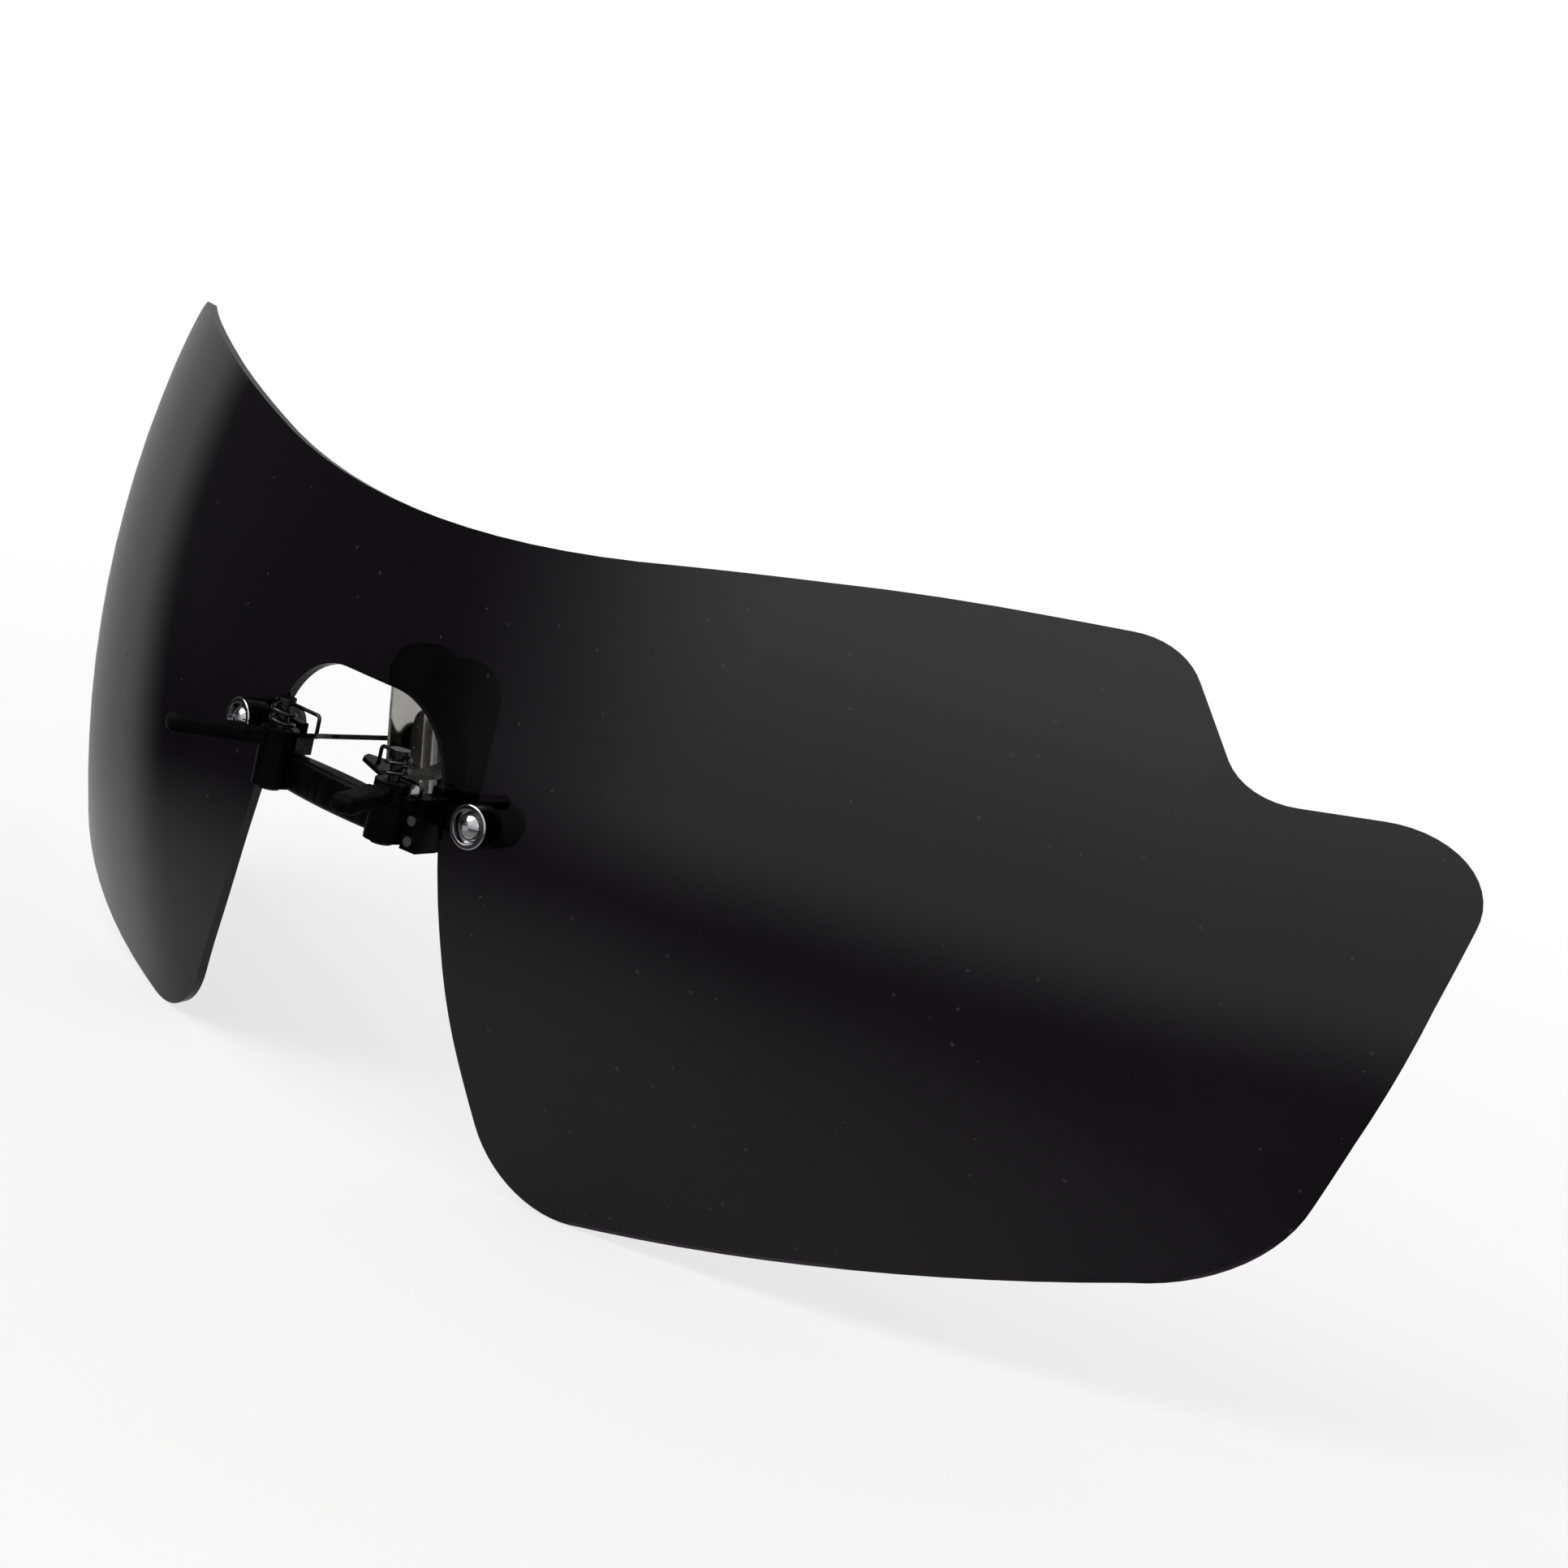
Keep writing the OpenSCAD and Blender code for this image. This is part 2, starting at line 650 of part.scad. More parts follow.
module pad_arm() {
    color("gray")
    difference() {
        union() {
            block([arm_x - arm_t, tab_front_y, hub_z], [arm_x, tab_back_y, arm_root_z + arm_t / 2]);
            translate([arm_x, 0, arm_root_z]) rotate([0, arm_slope, 0]) linear_extrude(arm_t)
                polygon(rounded([
                    for (s = arm_shares)
                        [-s[0] * arm_reach / cos(arm_slope), pivot_y + s[1] * arm_l, s[2] * arm_reach]
                ]));
            side_plate(pad_out, pad_out + arm_t)
                stadium(insert_y, paddle_low_z, paddle_top_z, paddle_r);
        }
        translate([leg_x, pivot_y + coil_r, 0]) post(hub_z, coil_z + coil_pitch, wire_r + face_gap);
    }
}

module insert_form(gap) {
    side_plate(pad_mid_x - arm_t / 2 - gap, pad_mid_x + arm_t / 2 + gap)
        stadium(insert_y, insert_low_z - gap, insert_top_z + gap, insert_w / 2 + gap);
    translate([pad_mid_x, insert_y, boss_z]) rotate([0, 90, 0])
        cylinder(h = pad_out - pad_mid_x + (gap > 0 ? over : 0), r = boss_r + gap, $fn = round_fn);
}
module pad_insert() { color("dimgray") insert_form(0); }

module nose_pad() {
    color([0.85, 0.87, 0.88, 0.5])
    difference() {
        loft([
            for (s = pad_level_shares)
                [for (p = drawn_in(rounded(pad_corners), s[1] * pad_t)) [pad_in + s[0] * pad_t, p[0], p[1]]]
        ]);
        insert_form(seat_gap);
    }
}

in_place() shield_lens();
in_place() clip_bridge();
left() lug();  // left_lug
right() lug();  // right_lug
left() strap();  // left_strap
right() strap();  // right_strap
left() rivets();  // left_rivets
right() rivets();  // right_rivets
left() lens_screw();  // left_lens_screw
right() lens_screw();  // right_lens_screw
left() cup_washer();  // left_cup_washer
right() cup_washer();  // right_cup_washer
left() gasket();  // left_gasket
right() gasket();  // right_gasket
left() cap_nut();  // left_cap_nut
right() cap_nut();  // right_cap_nut
left() pivot_pin();  // left_pivot_pin
right() pivot_pin();  // right_pivot_pin
left() lever();  // left_lever
right() lever();  // right_lever
left() sleeve();  // left_sleeve
right() sleeve();  // right_sleeve
left() spring();  // left_spring
right() spring();  // right_spring
left() pad_arm();  // left_pad_arm
right() pad_arm();  // right_pad_arm
left() pad_insert();  // left_pad_insert
right() pad_insert();  // right_pad_insert
left() nose_pad();  // left_nose_pad
right() nose_pad();  // right_nose_pad
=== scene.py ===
import json
import math

import bmesh
import bpy
from mathutils import Matrix, Vector


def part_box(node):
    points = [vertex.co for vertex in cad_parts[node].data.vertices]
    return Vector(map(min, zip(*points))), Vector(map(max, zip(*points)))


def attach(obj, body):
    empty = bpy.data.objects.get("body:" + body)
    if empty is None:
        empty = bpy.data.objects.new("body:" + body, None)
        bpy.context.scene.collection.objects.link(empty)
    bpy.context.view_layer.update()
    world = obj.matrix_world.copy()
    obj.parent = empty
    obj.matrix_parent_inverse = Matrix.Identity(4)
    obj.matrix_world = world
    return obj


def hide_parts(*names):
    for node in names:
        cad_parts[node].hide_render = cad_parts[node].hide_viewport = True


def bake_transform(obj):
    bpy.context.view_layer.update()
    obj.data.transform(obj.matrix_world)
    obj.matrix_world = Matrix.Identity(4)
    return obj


# Shield sunglasses on a finger-piece nose clip: finishes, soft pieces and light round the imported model
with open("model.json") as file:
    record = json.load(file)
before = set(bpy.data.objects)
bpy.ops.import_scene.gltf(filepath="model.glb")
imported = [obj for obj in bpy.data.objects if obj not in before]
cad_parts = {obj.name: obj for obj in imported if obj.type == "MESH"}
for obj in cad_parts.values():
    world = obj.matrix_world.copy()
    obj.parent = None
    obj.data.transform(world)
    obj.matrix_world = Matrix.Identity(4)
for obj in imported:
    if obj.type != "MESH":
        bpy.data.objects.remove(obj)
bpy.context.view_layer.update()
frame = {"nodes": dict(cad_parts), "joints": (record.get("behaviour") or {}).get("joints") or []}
nodes = frame["nodes"]
mm = 0.001
sides = {"left": -1, "right": 1}
turningBody = {"left": "left_finger_unit", "right": "right_finger_unit"}
print("loaded", len(nodes), "nodes")


# Camera, at the view of the photograph
cameraView = {
    "place": (0.1851255, -0.1789702, 0.0795018),
    "right": (0.70120739, 0.67587137, 0.22694951),
    "up": (-0.29791793, -0.0114316, 0.95452304),
    "focalLength": 84.627,
    "sensorWidth": 36.0,
    "nearest": 0.01,
}
cameraData = bpy.data.cameras.new("camera")
cameraData.sensor_width = cameraView["sensorWidth"]
cameraData.lens = cameraView["focalLength"]
cameraData.clip_start = cameraView["nearest"]
camera = bpy.data.objects.new("camera", cameraData)
bpy.context.scene.collection.objects.link(camera)
viewRight = Vector(cameraView["right"])
viewUp = Vector(cameraView["up"])
viewBack = viewRight.cross(viewUp)
viewTurn = Matrix((viewRight, viewUp, viewBack)).transposed().to_4x4()
camera.matrix_world = Matrix.Translation(cameraView["place"]) @ viewTurn
bpy.context.scene.camera = camera
bpy.context.scene.view_settings.view_transform = "Standard"
print("camera placed")


# Small helpers for node trees. A value goes to the input of that name, or else to the node's own setting
def addNode(tree, kind, **values):
    made = tree.nodes.new(kind)
    for name, value in values.items():
        if name in made.inputs:
            made.inputs[name].default_value = value
        else:
            setattr(made, name, value)
    return made


def link(tree, source, target):
    tree.links.new(source, target)


def newGroup(name, inputs, outputs):
    group = bpy.data.node_groups.new(name, "ShaderNodeTree")
    for label, kind, value in inputs:
        socket = group.interface.new_socket(label, in_out="INPUT", socket_type=kind)
        socket.default_value = value
    for label, kind in outputs:
        group.interface.new_socket(label, in_out="OUTPUT", socket_type=kind)
    return group, group.nodes.new("NodeGroupInput"), group.nodes.new("NodeGroupOutput")


# What one mask adds: a colour laid over what is under it, or a value scaled and added to a base
def layColor(tree, mask, under, color):
    laid = addNode(tree, "ShaderNodeMix", data_type="RGBA")
    laid.inputs["B"].default_value = (*color, 1.0)
    link(tree, mask, laid.inputs["Factor"])
    link(tree, under, laid.inputs["A"])
    return laid.outputs["Result"]


def addScaled(tree, mask, factor, base, **values):
    made = addNode(tree, "ShaderNodeMath", operation="MULTIPLY_ADD", **values)
    made.inputs[1].default_value = factor
    link(tree, mask, made.inputs[0])
    link(tree, base, made.inputs[2])
    return made.outputs[0]


# Grain: fine noise that shifts roughness and lifts the surface a little
grainPattern = {"detail": 4.0, "middle": 0.5}


def buildGrain():
    group, given, result = newGroup(
        "grain",
        [
            ("Scale", "NodeSocketFloat", 400.0),
            ("Roughness", "NodeSocketFloat", 0.3),
            ("Spread", "NodeSocketFloat", 0.1),
        ],
        [("Roughness", "NodeSocketFloat"), ("Height", "NodeSocketFloat")],
    )
    place = addNode(group, "ShaderNodeTexCoord")
    coarse = addNode(group, "ShaderNodeTexNoise", Detail=grainPattern["detail"])
    spread = addNode(group, "ShaderNodeMath", operation="MULTIPLY_ADD")
    offset = addNode(group, "ShaderNodeMath", operation="SUBTRACT")
    offset.inputs[1].default_value = grainPattern["middle"]
    link(group, place.outputs["Object"], coarse.inputs["Vector"])
    link(group, given.outputs["Scale"], coarse.inputs["Scale"])
    link(group, coarse.outputs["Fac"], offset.inputs[0])
    link(group, offset.outputs[0], spread.inputs[0])
    link(group, given.outputs["Spread"], spread.inputs[1])
    link(group, given.outputs["Roughness"], spread.inputs[2])
    link(group, spread.outputs[0], result.inputs["Roughness"])
    link(group, coarse.outputs["Fac"], result.inputs["Height"])
    return group


# Handling marks: soft blotches where fingers touch, with a few thin hairline scuffs
marksPattern = {
    "blotch": {"Detail": 3.0, "Distortion": 0.4},
    "blotchRange": {"From Min": 0.45, "From Max": 0.75},
    "stretch": {"Scale": (1.0, 0.12, 0.35), "Rotation": (0.3, 0.5, 0.7)},
    "scuff": {"Detail": 2.0},
    "scuffRange": {"From Min": 0.66, "From Max": 0.74},
}


def buildMarks():
    group, given, result = newGroup(
        "marks",
        [
            ("Blotch Scale", "NodeSocketFloat", 60.0),
            ("Scuff Scale", "NodeSocketFloat", 300.0),
            ("Amount", "NodeSocketFloat", 0.5),
        ],
        [("Blotch", "NodeSocketFloat"), ("Scuff", "NodeSocketFloat")],
    )
    place = addNode(group, "ShaderNodeTexCoord")
    blotch = addNode(group, "ShaderNodeTexNoise", **marksPattern["blotch"])
    blotchRange = addNode(group, "ShaderNodeMapRange", **marksPattern["blotchRange"])
    stretch = addNode(group, "ShaderNodeMapping", **marksPattern["stretch"])
    scuff = addNode(group, "ShaderNodeTexNoise", **marksPattern["scuff"])
    scuffRange = addNode(group, "ShaderNodeMapRange", **marksPattern["scuffRange"])
    link(group, place.outputs["Object"], blotch.inputs["Vector"])
    link(group, given.outputs["Blotch Scale"], blotch.inputs["Scale"])
    link(group, blotch.outputs["Fac"], blotchRange.inputs["Value"])
    link(group, place.outputs["Object"], stretch.inputs["Vector"])
    link(group, stretch.outputs["Vector"], scuff.inputs["Vector"])
    link(group, given.outputs["Scuff Scale"], scuff.inputs["Scale"])
    link(group, scuff.outputs["Fac"], scuffRange.inputs["Value"])
    for made, label in ((blotchRange, "Blotch"), (scuffRange, "Scuff")):
        times = addNode(group, "ShaderNodeMath", operation="MULTIPLY")
        link(group, made.outputs["Result"], times.inputs[0])
        link(group, given.outputs["Amount"], times.inputs[1])
        link(group, times.outputs[0], result.inputs[label])
    return group


# Dust: a few small ragged specks, each from one cell of a fine pattern
dustPattern = {"ragged": {"Scale": 9000.0, "Detail": 1.0}, "raggedReach": 0.2 * mm}


def buildDust():
    group, given, result = newGroup(
        "dust",
        [
            ("Scale", "NodeSocketFloat", 600.0),
            ("Size", "NodeSocketFloat", 0.06),
            ("Bare Share", "NodeSocketFloat", 0.75),
        ],
        [("Speck", "NodeSocketFloat")],
    )
    place = addNode(group, "ShaderNodeTexCoord")
    ragged = addNode(group, "ShaderNodeTexNoise", **dustPattern["ragged"])
    shift = addNode(group, "ShaderNodeVectorMath", operation="MULTIPLY_ADD")
    shift.inputs[1].default_value = (dustPattern["raggedReach"],) * 3
    cells = addNode(group, "ShaderNodeTexVoronoi")
    near = addNode(group, "ShaderNodeMath", operation="LESS_THAN")
    chosen = addNode(group, "ShaderNodeMath", operation="GREATER_THAN")
    parts = addNode(group, "ShaderNodeSeparateColor")
    speck = addNode(group, "ShaderNodeMath", operation="MULTIPLY")
    link(group, place.outputs["Object"], ragged.inputs["Vector"])
    link(group, ragged.outputs["Color"], shift.inputs[0])
    link(group, place.outputs["Object"], shift.inputs[2])
    link(group, shift.outputs[0], cells.inputs["Vector"])
    link(group, given.outputs["Scale"], cells.inputs["Scale"])
    link(group, cells.outputs["Distance"], near.inputs[0])
    link(group, given.outputs["Size"], near.inputs[1])
    link(group, cells.outputs["Color"], parts.inputs[0])
    link(group, parts.outputs[0], chosen.inputs[0])
    link(group, given.outputs["Bare Share"], chosen.inputs[1])
    link(group, near.outputs[0], speck.inputs[0])
    link(group, chosen.outputs[0], speck.inputs[1])
    link(group, speck.outputs[0], result.inputs["Speck"])
    return group


# Turning: fine grooves round an axis, alike on both halves of the clip, and a mask of the outer wall, where
# the cup washers get painted shade
def buildTurning():
    group, given, result = newGroup(
        "turning",
        [
            ("Centre", "NodeSocketVector", (0.0, 0.0, 0.0)),
            ("Axis", "NodeSocketVector", (0.0, 0.0, 1.0)),
            ("Grooves", "NodeSocketFloat", 50000.0),
            ("Wall Radius", "NodeSocketFloat", 1.0),
        ],
        [("Height", "NodeSocketFloat"), ("Wall", "NodeSocketFloat")],
    )
    place = addNode(group, "ShaderNodeTexCoord")
    parts = addNode(group, "ShaderNodeSeparateXYZ")
    across = addNode(group, "ShaderNodeMath", operation="ABSOLUTE")
    joined = addNode(group, "ShaderNodeCombineXYZ")
    away = addNode(group, "ShaderNodeVectorMath", operation="SUBTRACT")
    square = addNode(group, "ShaderNodeVectorMath", operation="CROSS_PRODUCT")
    reach = addNode(group, "ShaderNodeVectorMath", operation="LENGTH")
    count = addNode(group, "ShaderNodeMath", operation="MULTIPLY")
    groove = addNode(group, "ShaderNodeMath", operation="SINE")
    wall = addNode(group, "ShaderNodeMath", operation="GREATER_THAN")
    link(group, place.outputs["Object"], parts.inputs[0])
    link(group, parts.outputs["X"], across.inputs[0])
    link(group, across.outputs[0], joined.inputs["X"])
    link(group, parts.outputs["Y"], joined.inputs["Y"])
    link(group, parts.outputs["Z"], joined.inputs["Z"])
    link(group, joined.outputs[0], away.inputs[0])
    link(group, given.outputs["Centre"], away.inputs[1])
    link(group, away.outputs[0], square.inputs[0])
    link(group, given.outputs["Axis"], square.inputs[1])
    link(group, square.outputs[0], reach.inputs[0])
    link(group, reach.outputs["Value"], count.inputs[0])
    link(group, given.outputs["Grooves"], count.inputs[1])
    link(group, count.outputs[0], groove.inputs[0])
    link(group, groove.outputs[0], result.inputs["Height"])
    link(group, reach.outputs["Value"], wall.inputs[0])
    link(group, given.outputs["Wall Radius"], wall.inputs[1])
    link(group, wall.outputs[0], result.inputs["Wall"])
    return group


grainGroup = buildGrain()
marksGroup = buildMarks()
dustGroup = buildDust()
turningGroup = buildTurning()


# Dust lies in pale, dull specks over what is under it
def layDust(tree, dustLook, surface, roughness):
    dust = addNode(tree, "ShaderNodeGroup", node_tree=dustGroup, **dustLook["pattern"])
    speck = dust.outputs["Speck"]
    surface = layColor(tree, speck, surface, dustLook["color"])
    return surface, addScaled(tree, speck, dustLook["roughness"], roughness)


# Turned pieces have grooves, and the cup washers get painted shade, near-black, on their chrome outer wall
def turnPiece(tree, turningLook, surface, height):
    turning = addNode(tree, "ShaderNodeGroup", node_tree=turningGroup, **turningLook["pattern"])
    if "paintedShadeWallColor" in turningLook:
        surface = layColor(tree, turning.outputs["Wall"], surface, turningLook["paintedShadeWallColor"])
    return surface, addScaled(tree, turning.outputs["Height"], turningLook["depth"], height)


# A material with grain in its roughness and bump, and marks between two colours
def makeFinish(name, look):
    made = bpy.data.materials.new(name)
    made.use_nodes = True
    tree = made.node_tree
    shader = tree.nodes["Principled BSDF"]
    for socket, value in look["shader"].items():
        shader.inputs[socket].default_value = value
    grain = addNode(tree, "ShaderNodeGroup", node_tree=grainGroup)
    grain.inputs["Scale"].default_value = look["grainScale"]
    grain.inputs["Roughness"].default_value = look["roughness"]
    grain.inputs["Spread"].default_value = look["spread"]
    marks = addNode(tree, "ShaderNodeGroup", node_tree=marksGroup)
    marks.inputs["Blotch Scale"].default_value = look["blotchScale"]
    marks.inputs["Scuff Scale"].default_value = look["scuffScale"]
    marks.inputs["Amount"].default_value = look["marks"]
    worn = addNode(tree, "ShaderNodeMath", operation="MAXIMUM")
    link(tree, marks.outputs["Blotch"], worn.inputs[0])
    link(tree, marks.outputs["Scuff"], worn.inputs[1])
    tint = addNode(tree, "ShaderNodeMix", data_type="RGBA")
    tint.inputs["A"].default_value = (*look["color"], 1.0)
    tint.inputs["B"].default_value = (*look["wornColor"], 1.0)
    link(tree, worn.outputs[0], tint.inputs["Factor"])
    surface, height, roughness = tint.outputs["Result"], grain.outputs["Height"], grain.outputs["Roughness"]
    roughness = addScaled(tree, worn.outputs[0], look["markRoughness"], roughness, use_clamp=True)
    if "dust" in look:
        surface, roughness = layDust(tree, look["dust"], surface, roughness)
    if "turning" in look:
        surface, height = turnPiece(tree, look["turning"], surface, height)
    link(tree, surface, shader.inputs["Base Color"])
    link(tree, roughness, shader.inputs["Roughness"])
    if look["bump"]:
        bump = addNode(tree, "ShaderNodeBump", Strength=look["bump"], Distance=look["bumpDepth"])
        link(tree, height, bump.inputs["Height"])
        link(tree, bump.outputs["Normal"], shader.inputs["Normal"])
    return made


# The lens screws point at the middle of the lens's sphere, and the pins stand upright at the joints
turned = {
    "lensRadius": 88.3 * mm,
    "pinAhead": 1.4 * mm,  # from the front of the lens to the pins
    "pinAbove": 0.5 * mm,  # from the level of the screws to the joints
    "screwOut": 12.5 * mm,  # from the middle of the lens to a screw
    "wallRadius": 1.54 * mm,  # where the outer wall of a cup washer starts
    "screwGrooves": 45000.0,
    "pinGrooves": 52000.0,
}
pivots = {joint["name"].split("_")[0]: Vector(joint["pos_m"]) for joint in frame["joints"]}
sphereMiddle = pivots["right"] + Vector((0, turned["pinAhead"] + turned["lensRadius"], -turned["pinAbove"]))
screwLean = math.asin(turned["screwOut"] / turned["lensRadius"])
screwTurning = {
    "Centre": (0.0, sphereMiddle.y, sphereMiddle.z),
    "Axis": (math.sin(screwLean), -math.cos(screwLean), 0.0),
    "Grooves": turned["screwGrooves"],
    "Wall Radius": turned["wallRadius"],
}
pinTurning = {"Centre": tuple(pivots["right"]), "Axis": (0.0, 0.0, 1.0), "Grooves": turned["pinGrooves"]}

# Lengths in bumpDepth are metres, and scales count per metre
finishes = {
    "smokeLens": {
        "color": (0.0045, 0.0037, 0.0046), "wornColor": (0.0078, 0.0066, 0.0076),
        "roughness": 0.01, "spread": 0.008, "markRoughness": 0.02, "marks": 0.5,
        "grainScale": 90.0, "blotchScale": 38.0, "scuffScale": 420.0, "bump": 0.0, "bumpDepth": 0.0,
        "shader": {"Transmission Weight": 1.0, "IOR": 1.5, "Specular IOR Level": 0.38},
        "dust": {
            "pattern": {"Scale": 560.0, "Size": 0.075, "Bare Share": 0.72},
            "color": (0.062, 0.06, 0.058), "roughness": 0.35,
        },
    },
    "blackMetal": {
        "color": (0.0009, 0.0009, 0.001), "wornColor": (0.0045, 0.0045, 0.0048),
        "roughness": 0.3, "spread": 0.14, "markRoughness": 0.1, "marks": 0.35,
        "grainScale": 1500.0, "blotchScale": 500.0, "scuffScale": 1800.0, "bump": 0.12, "bumpDepth": 0.00004,
        "shader": {"Specular IOR Level": 0.07},
    },
    "brightChrome": {
        "color": (0.52, 0.52, 0.53), "wornColor": (0.34, 0.34, 0.35),
        "roughness": 0.1, "spread": 0.06, "markRoughness": 0.12, "marks": 0.3,
        "grainScale": 2500.0, "blotchScale": 900.0, "scuffScale": 2600.0, "bump": 0.12, "bumpDepth": 0.00002,
        "shader": {"Metallic": 1.0},
        # The near-black wall colour here is painted shade on the cup washers' chrome outer wall
        "turning": {"pattern": screwTurning, "depth": 0.35, "paintedShadeWallColor": (0.006, 0.006, 0.0062)},
    },
    "brightSteel": {
        "color": (0.5, 0.5, 0.51), "wornColor": (0.3, 0.3, 0.31),
        "roughness": 0.2, "spread": 0.12, "markRoughness": 0.15, "marks": 0.4,
        "grainScale": 2400.0, "blotchScale": 700.0, "scuffScale": 2200.0, "bump": 0.08, "bumpDepth": 0.00003,
        "shader": {"Metallic": 1.0},
    },
    "pinSteel": {
        "color": (0.05, 0.05, 0.052), "wornColor": (0.14, 0.14, 0.145),
        "roughness": 0.22, "spread": 0.12, "markRoughness": 0.12, "marks": 0.4,
        "grainScale": 2400.0, "blotchScale": 700.0, "scuffScale": 2200.0, "bump": 0.12, "bumpDepth": 0.00002,
        "shader": {"Metallic": 1.0},
        "turning": {"pattern": pinTurning, "depth": 0.35},
    },
    "armSteel": {
        "color": (0.045, 0.045, 0.047), "wornColor": (0.022, 0.022, 0.023),
        "roughness": 0.26, "spread": 0.14, "markRoughness": 0.12, "marks": 0.5,
        "grainScale": 1800.0, "blotchScale": 420.0, "scuffScale": 1600.0, "bump": 0.1, "bumpDepth": 0.00003,
        "shader": {"Metallic": 1.0},
    },
    "springWire": {
        "color": (0.035, 0.035, 0.037), "wornColor": (0.1, 0.1, 0.105),
        "roughness": 0.24, "spread": 0.1, "markRoughness": 0.1, "marks": 0.4,
        "grainScale": 3000.0, "blotchScale": 900.0, "scuffScale": 2600.0, "bump": 0.08, "bumpDepth": 0.00002,
        "shader": {"Metallic": 1.0},
    },
    "blackRubber": {
        "color": (0.0008, 0.0008, 0.0009), "wornColor": (0.0028, 0.0028, 0.003),
        "roughness": 0.5, "spread": 0.2, "markRoughness": 0.1, "marks": 0.6,
        "grainScale": 3200.0, "blotchScale": 600.0, "scuffScale": 1500.0, "bump": 0.3, "bumpDepth": 0.00005,
        "shader": {"Specular IOR Level": 0.04},
    },
    "blackNut": {
        "color": (0.0018, 0.0018, 0.002), "wornColor": (0.006, 0.006, 0.0063),
        "roughness": 0.42, "spread": 0.14, "markRoughness": 0.12, "marks": 0.4,
        "grainScale": 2600.0, "blotchScale": 600.0, "scuffScale": 1900.0, "bump": 0.2, "bumpDepth": 0.00004,
        "shader": {"Specular IOR Level": 0.12},
    },
    "clearWasher": {
        "color": (0.08, 0.08, 0.083), "wornColor": (0.12, 0.12, 0.12),
        "roughness": 0.35, "spread": 0.1, "markRoughness": 0.1, "marks": 0.4,
        "grainScale": 2000.0, "blotchScale": 600.0, "scuffScale": 1900.0, "bump": 0.1, "bumpDepth": 0.00003,
        "shader": {"Transmission Weight": 0.4, "IOR": 1.45},
    },
    "clearSilicone": {
        "color": (0.33, 0.325, 0.305), "wornColor": (0.25, 0.245, 0.22),
        "roughness": 0.18, "spread": 0.08, "markRoughness": 0.14, "marks": 0.6,
        "grainScale": 1400.0, "blotchScale": 320.0, "scuffScale": 1400.0, "bump": 0.12, "bumpDepth": 0.00005,
        "shader": {"Transmission Weight": 1.0, "IOR": 1.41},
        "dust": {
            "pattern": {"Scale": 1300.0, "Size": 0.07, "Bare Share": 0.6},
            "color": (0.3, 0.29, 0.27), "roughness": 0.3,
        },
    },
}
materials = {name: makeFinish(name, look) for name, look in finishes.items()}
print("finishes made:", len(materials))


# The CAD nodes: the finish of each, and the width in millimetres of its rounded edges
nodeFinish = {
    "shield_lens": ("smokeLens", 0.12),
    "clip_bridge": ("blackMetal", 0.0),
    "lug": ("blackMetal", 0.08),
    "strap": ("blackMetal", 0.08),
    "rivets": ("brightSteel", 0.03),
    "lens_screw": ("brightChrome", 0.03),
    "cup_washer": ("brightChrome", 0.03),
    "gasket": ("clearWasher", 0.05),
    "cap_nut": ("blackNut", 0.1),
    "pivot_pin": ("pinSteel", 0.06),
    "lever": ("blackMetal", 0.06),
    "pad_arm": ("armSteel", 0.06),
    "pad_insert": ("armSteel", 0.08),
}
edge = {"weld": 0.002 * mm, "angle": math.radians(32), "segments": 3, "flatWeight": 80}


def dressNode(node, finish, bevelWidth):
    mesh = node.data
    mesh.materials.clear()
    mesh.materials.append(materials[finish])
    if "custom_normal" in mesh.attributes:
        mesh.attributes.remove(mesh.attributes["custom_normal"])
    mesh.shade_smooth()
    weld = node.modifiers.new("weld", "WELD")
    weld.merge_threshold = edge["weld"]
    if bevelWidth:
        bevel = node.modifiers.new("softEdges", "BEVEL")
        bevel.width = bevelWidth * mm
        bevel.segments = edge["segments"]
        bevel.limit_method = "ANGLE"
        bevel.angle_limit = edge["angle"]
        bevel.harden_normals = True
        bevel.use_clamp_overlap = True
    else:
        smooth = node.modifiers.new("softEdges", "WEIGHTED_NORMAL")
        smooth.weight = edge["flatWeight"]


for kind, (finish, bevelWidth) in nodeFinish.items():
    if kind in nodes:
        dressNode(nodes[kind], finish, bevelWidth)
    else:
        for side in sides:
            dressNode(nodes[side + "_" + kind], finish, bevelWidth)
print("CAD nodes dressed")


# Closed outlines and meshes for the soft pieces, in millimetres from a pivot
soft = {
    "pointGap": 0.0005 * mm,  # nearer points than this are one
    "cornerShare": 0.49,  # the most of a side that a rounded corner takes
}


def placed(side, point, origin):
    return Vector((sides[side] * point[0], point[1], point[2])) * mm + origin


def makePiece(name, points, faces, finish):
    shape = bmesh.new()
    corners = [shape.verts.new(point) for point in points]
    for face in faces:
        shape.faces.new([corners[k] for k in face])
    bmesh.ops.remove_doubles(shape, verts=shape.verts, dist=soft["pointGap"])
    bmesh.ops.recalc_face_normals(shape, faces=shape.faces)
    mesh = bpy.data.meshes.new(name)
    shape.to_mesh(mesh)
    shape.free()
    mesh.shade_smooth()
    mesh.materials.append(materials[finish])
    piece = bpy.data.objects.new(name, mesh)
    bpy.context.scene.collection.objects.link(piece)
    return piece


def skin(rings):
    count = len(rings[0])
    points = [point for ring in rings for point in ring]
    faces = []
    for level in range(len(rings) - 1):
        for k in range(count):
            low = level * count + k
            nextLow = level * count + (k + 1) % count
            faces.append((low, nextLow, nextLow + count, low + count))
    faces.append(tuple(range(count - 1, -1, -1)))
    faces.append(tuple((len(rings) - 1) * count + k for k in range(count)))
    return points, faces


